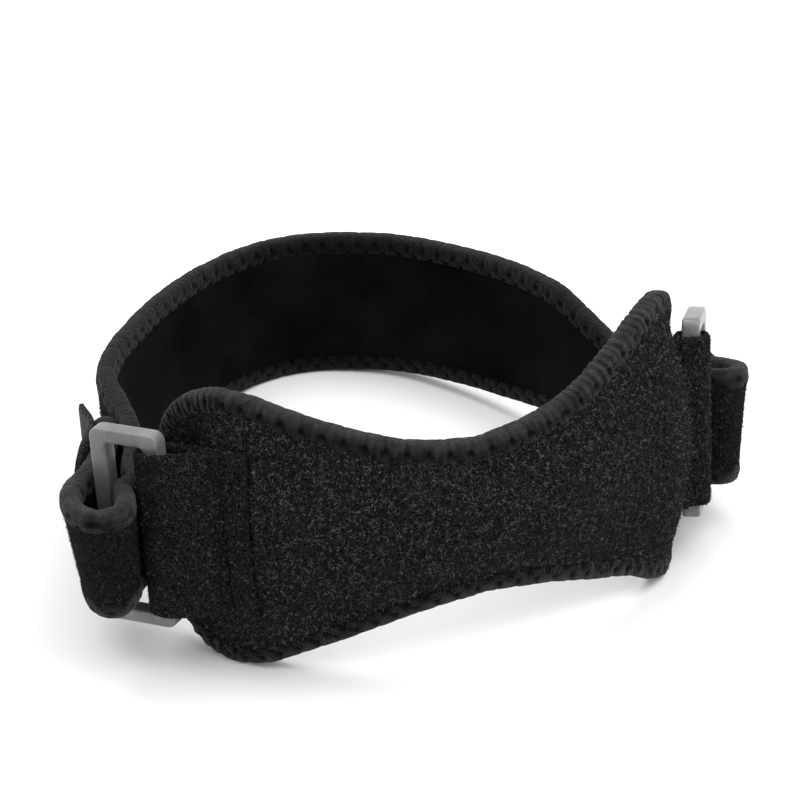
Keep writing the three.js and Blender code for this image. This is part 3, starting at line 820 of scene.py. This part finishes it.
# A darker copy of the pad's pile and fibres: painted shade that makes the strap's loops blacker
# than the pad.
SHADED_STRAP_PILE = pile_finish("strap_pile_cloth_painted_shade", (0.0003, 0.0003, 0.0003), (0.016, 0.016, 0.0164))
SHADED_STRAP_FIBRE = fibre_finish("strap_pile_fibre_painted_shade", (0.045, 0.045, 0.0455))

STRAP_ROWS = 12
strap_edge = strap_outline(pitch=1.1)
strap_spine = STRAP_LOOP_HEIGHT / 2
strap_rows = panel_rings(
    strap_edge,
    strap_at,
    STRAP_THICKNESS / 2,
    lambda s, w: nap(s, w, height=0.008, seed=8),
    lambda p: np.clip(p, (strap_spine, 0), (STRAP_LENGTH - strap_spine, 0)),
    BINDING_WIDTH - BINDING_NOSE,
    steps=STRAP_ROWS,
)
# The pile is outside all the way: on one face between the rings and on the other beyond them.
folded_over = (strap_edge[0][:, 0] < LEFT_CROSSING) | (strap_edge[0][:, 0] > RIGHT_CROSSING)
strap_cloths = [folded_over == (row < STRAP_ROWS) for row in range(2 * STRAP_ROWS - 1)]
strap = new_object(
    "strap_body",
    skin("strap_body", [stood(row) for row in strap_rows], [KNIT, SHADED_STRAP_PILE], cloths=strap_cloths),
)
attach(strap, "root")
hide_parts("back_strap")
strap_fibres = fibres(
    "strap_fibres", strap, cloth=1, count=26000, length=0.0009, width=0.00011, seed=21,
    finish=SHADED_STRAP_FIBRE,
)
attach(strap_fibres, "root")

# The back strap's binding
# The same tape folded over the strap's edge all round, with both tips, low even gathers and the
# same stitches. Between the rings it carries more painted shade than on the loops.
strap_tape_edge = strap_outline(pitch=0.4)
strap_tape_lines, strap_painted_light = tape_rings(
    strap_tape_edge, strap_at, STRAP_THICKNESS / 2, gathers=0.1, seed=6
)
strap_tape_lines = [stood(line) for line in strap_tape_lines]
strap_tape_s = strap_tape_edge[0][:, 0]
between = np.minimum(strap_tape_s - LEFT_CROSSING, RIGHT_CROSSING - strap_tape_s)
# Painted shade: between the rings the tape is darkened to two fifths.
strap_painted_light = [painted_light * (1 - 0.6 * smooth(between, 0, 15)) for painted_light in strap_painted_light]
strap_tape = new_object(
    "strap_tape",
    skin("strap_tape", strap_tape_lines, [TAPE], closed_rings=True, painted_light_values=strap_painted_light),
)
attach(strap_tape, "root")
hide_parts("back_strap_binding")

# The rings
# Moulded grey plastic rectangles with rounded corners and softened edges. One long bar of each
# sits in its tab and the back strap runs through the slot between the long bars.
RING_HEIGHT = 44.5
RING_END_BAR = 3.1
RING_CORNER = 2
RING_SQUARENESS = 0.3


def squared(value):
    """Takes a round bar's section towards a square one."""
    return np.sign(value) * abs(value) ** RING_SQUARENESS


def plastic_finish(name):
    """Satin grey moulded plastic with faint scuffs."""
    finish, nodes, links, shader = new_finish(name)
    shade = noise(nodes, links, 220, 4, 0.3, 0.7)
    grey = mixed(nodes, links, shade, (0.105, 0.105, 0.106), (0.18, 0.18, 0.182))
    links.new(grey, shader.inputs["Base Color"])
    shader.inputs["Roughness"].default_value = 0.3
    bumped(nodes, links, shader, noise(nodes, links, 2200, 3, 0.3, 0.7), 0.00004)
    return finish


PLASTIC = plastic_finish("ring_plastic")


def rounded_frame(width, height, radius, steps):
    points = []
    for corner in range(4):
        x = (-1 if corner in (1, 2) else 1) * (width / 2 - radius)
        y = (-1 if corner > 1 else 1) * (height / 2 - radius)
        for turn in np.linspace(corner, corner + 1, steps) * math.pi / 2:
            points.append((x + radius * math.cos(turn), y + radius * math.sin(turn)))
    return np.array(points)


outer = rounded_frame(RING_WIDTH, RING_HEIGHT, RING_CORNER, steps=10)
hole = rounded_frame(
    RING_WIDTH - 2 * RING_BAR, RING_HEIGHT - 2 * RING_END_BAR, RING_CORNER * 0.6, steps=10
)
for side, end in ENDS.items():
    rings = []
    for turn in np.linspace(0, 2 * math.pi, 28, endpoint=False):
        depth = squared(math.sin(turn)) * RING_THICKNESS / 2
        flat = (outer + hole) / 2 + (outer - hole) / 2 * squared(math.cos(turn))
        plan = by_ring(end, flat[:, :1], depth)
        rings.append(stood(np.column_stack([plan, flat[:, 1] + end["lift"]])))
    ring = new_object(
        side + "_ring_frame",
        skin(side + "_ring_frame", rings, [PLASTIC], closed_rings=True),
    )
    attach(ring, "root")
    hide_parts(side + "_ring")

# The tabs
# A strip of brushed loop tape sewn to the pad, taken out round the ring's front bar and back
# over itself, with the under layer showing as a step beyond the cut end of the upper one.
TAB_THICKNESS = 1.6
GAP = 0.3
# The tab's way round the bar, in half widths of its bend along the ring and out of it.
WRAP_PLACES = [
    (-0.2, -1), (0.55, -1), (0.9, -0.8), (1, -0.45), (1, 0.45), (0.9, 0.8), (0.55, 1), (-0.75, 1),
]


def strip_rings(lines, thickness, edge):
    """Lines along both faces of a strip from its middle lines; edge thins the outermost two."""
    rings = []
    last = len(lines) - 1
    for side, order in ((1, range(last + 1)), (-1, range(last, -1, -1))):
        for j in order:
            way = np.gradient(lines[j], axis=0)
            way[:, 2] = 0
            way /= np.linalg.norm(way, axis=1)[:, None]
            normal = np.stack([way[:, 1], -way[:, 0], 0 * way[:, 0]], axis=1)
            thin = edge if j in (0, last) else 1
            rings.append(lines[j] + normal * (side * thin * thickness / 2))
    return rings


def strip_mesh(name, rings, material):
    """Skins lines that run along a strip into a closed bar, with both ends filled."""
    points = np.stack([stood(ring) for ring in rings])
    count, length = points.shape[:2]
    faces = []
    for i in range(count):
        k = (i + 1) % count
        for j in range(length - 1):
            faces.append((i * length + j, i * length + j + 1, k * length + j + 1, k * length + j))
    for j in (0, length - 1):
        for i in range(count // 2 - 1):
            a, b = i, count - 1 - i
            faces.append([line * length + j for line in (a, a + 1, b - 1, b)])
    mesh = bpy.data.meshes.new(name)
    mesh.from_pydata(points.reshape(-1, 3).tolist(), [], faces)
    mesh.materials.append(material)
    return finished_mesh(mesh)


def on_pad(end, reach, w, level):
    """A place at a given height over the pad's crowned face."""
    s = end["side"] * reach
    return pad_at(s, w, level + pad_rise(s, w))


TAB_MIDDLE = TAB_THICKNESS / 2
TAB_UNDER = PAD_THICKNESS / 2 + GAP + TAB_MIDDLE
TAB_OVER = TAB_UNDER + TAB_THICKNESS + GAP
WRAP_ALONG = RING_BAR / 2 + GAP + TAB_MIDDLE
WRAP_OUT = RING_THICKNESS / 2 + GAP + TAB_MIDDLE

for side, end in ENDS.items():
    bar = RING_BAR / 2 - RING_WIDTH / 2
    wrap = [by_ring(end, bar + a * WRAP_ALONG, o * WRAP_OUT) for a, o in WRAP_PLACES]
    start = end["tab_start"]
    lines = []
    for w in np.linspace(-TAB_HEIGHT / 2, TAB_HEIGHT / 2, 60) + end["lift"]:
        stations = [
            on_pad(end, start - end["tab_step"], w, TAB_UNDER),
            on_pad(end, start, w, TAB_UNDER),
            *[np.append(place, w) for place in wrap],
            on_pad(end, start + 2, w, TAB_OVER),
            on_pad(end, start, w, TAB_OVER),
        ]
        lines.append(through(stations, steps=9))
    tab = new_object(
        side + "_tab_strip",
        strip_mesh(side + "_tab_strip", strip_rings(lines, TAB_THICKNESS, edge=0.35), PILE),
    )
    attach(tab, "root")
    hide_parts(side + "_tab")
    tab_fibres = fibres(
        side + "_tab_fibres", tab, cloth=0, count=9000, length=0.0009, width=0.00011, seed=31,
        finish=FIBRE,
    )
    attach(tab_fibres, "root")

# The hook tabs
# Stiff black hook tape sewn to the outside of each strap end, round at the front and square at
# the tip, which holds the folded end to the pile of the strap.
HOOK_HEIGHT = 29
HOOK_THICKNESS = 1.5
HOOK_ROUNDING = 8
HOOK_OVERHANG = 0.5


def hook_finish(name):
    """Black hook tape: a dark ground under tiny lighter hooks."""
    finish, nodes, links, shader = new_finish(name)
    rows = noise(nodes, links, 1400, 0, 0.35, 0.65)
    black = mixed(nodes, links, rows, (0.002, 0.002, 0.002), (0.012, 0.012, 0.0122))
    links.new(black, shader.inputs["Base Color"])
    shader.inputs["Roughness"].default_value = 0.6
    shader.inputs["Specular IOR Level"].default_value = 0.15
    bumped(nodes, links, shader, rows, 0.0003)
    return finish


HOOK = hook_finish("hook_tape")
for side, end in ENDS.items():
    level = STRAP_THICKNESS / 2 + SEAT + HOOK_THICKNESS / 2
    tip = -HOOK_OVERHANG if end["side"] < 0 else STRAP_LENGTH + HOOK_OVERHANG
    from_front = np.linspace(0, end["hook_length"], 60)
    corner = np.clip(HOOK_ROUNDING - from_front, 0, None) / HOOK_ROUNDING
    trim = HOOK_ROUNDING * (1 - np.sqrt(1 - corner ** 2))
    height = 1 - 2 * trim / HOOK_HEIGHT
    along = tip - end["side"] * (end["hook_length"] - from_front)
    inside = np.clip(along, 0.01, STRAP_LENGTH - 0.01)
    way = np.stack([np.interp(inside, strap_run, strap_way[:, k]) for k in (0, 1)], axis=1)
    lines = []
    for w in np.linspace(-HOOK_HEIGHT / 2, HOOK_HEIGHT / 2, 30):
        line = strap_at(inside, w * height, level)
        line[:, :2] += way * (along - inside)[:, None]
        lines.append(line)
    hook = new_object(
        side + "_hook_strip",
        strip_mesh(side + "_hook_strip", strip_rings(lines, HOOK_THICKNESS, edge=0.6), HOOK),
    )
    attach(hook, "root")
    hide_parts(side + "_hook_tab")
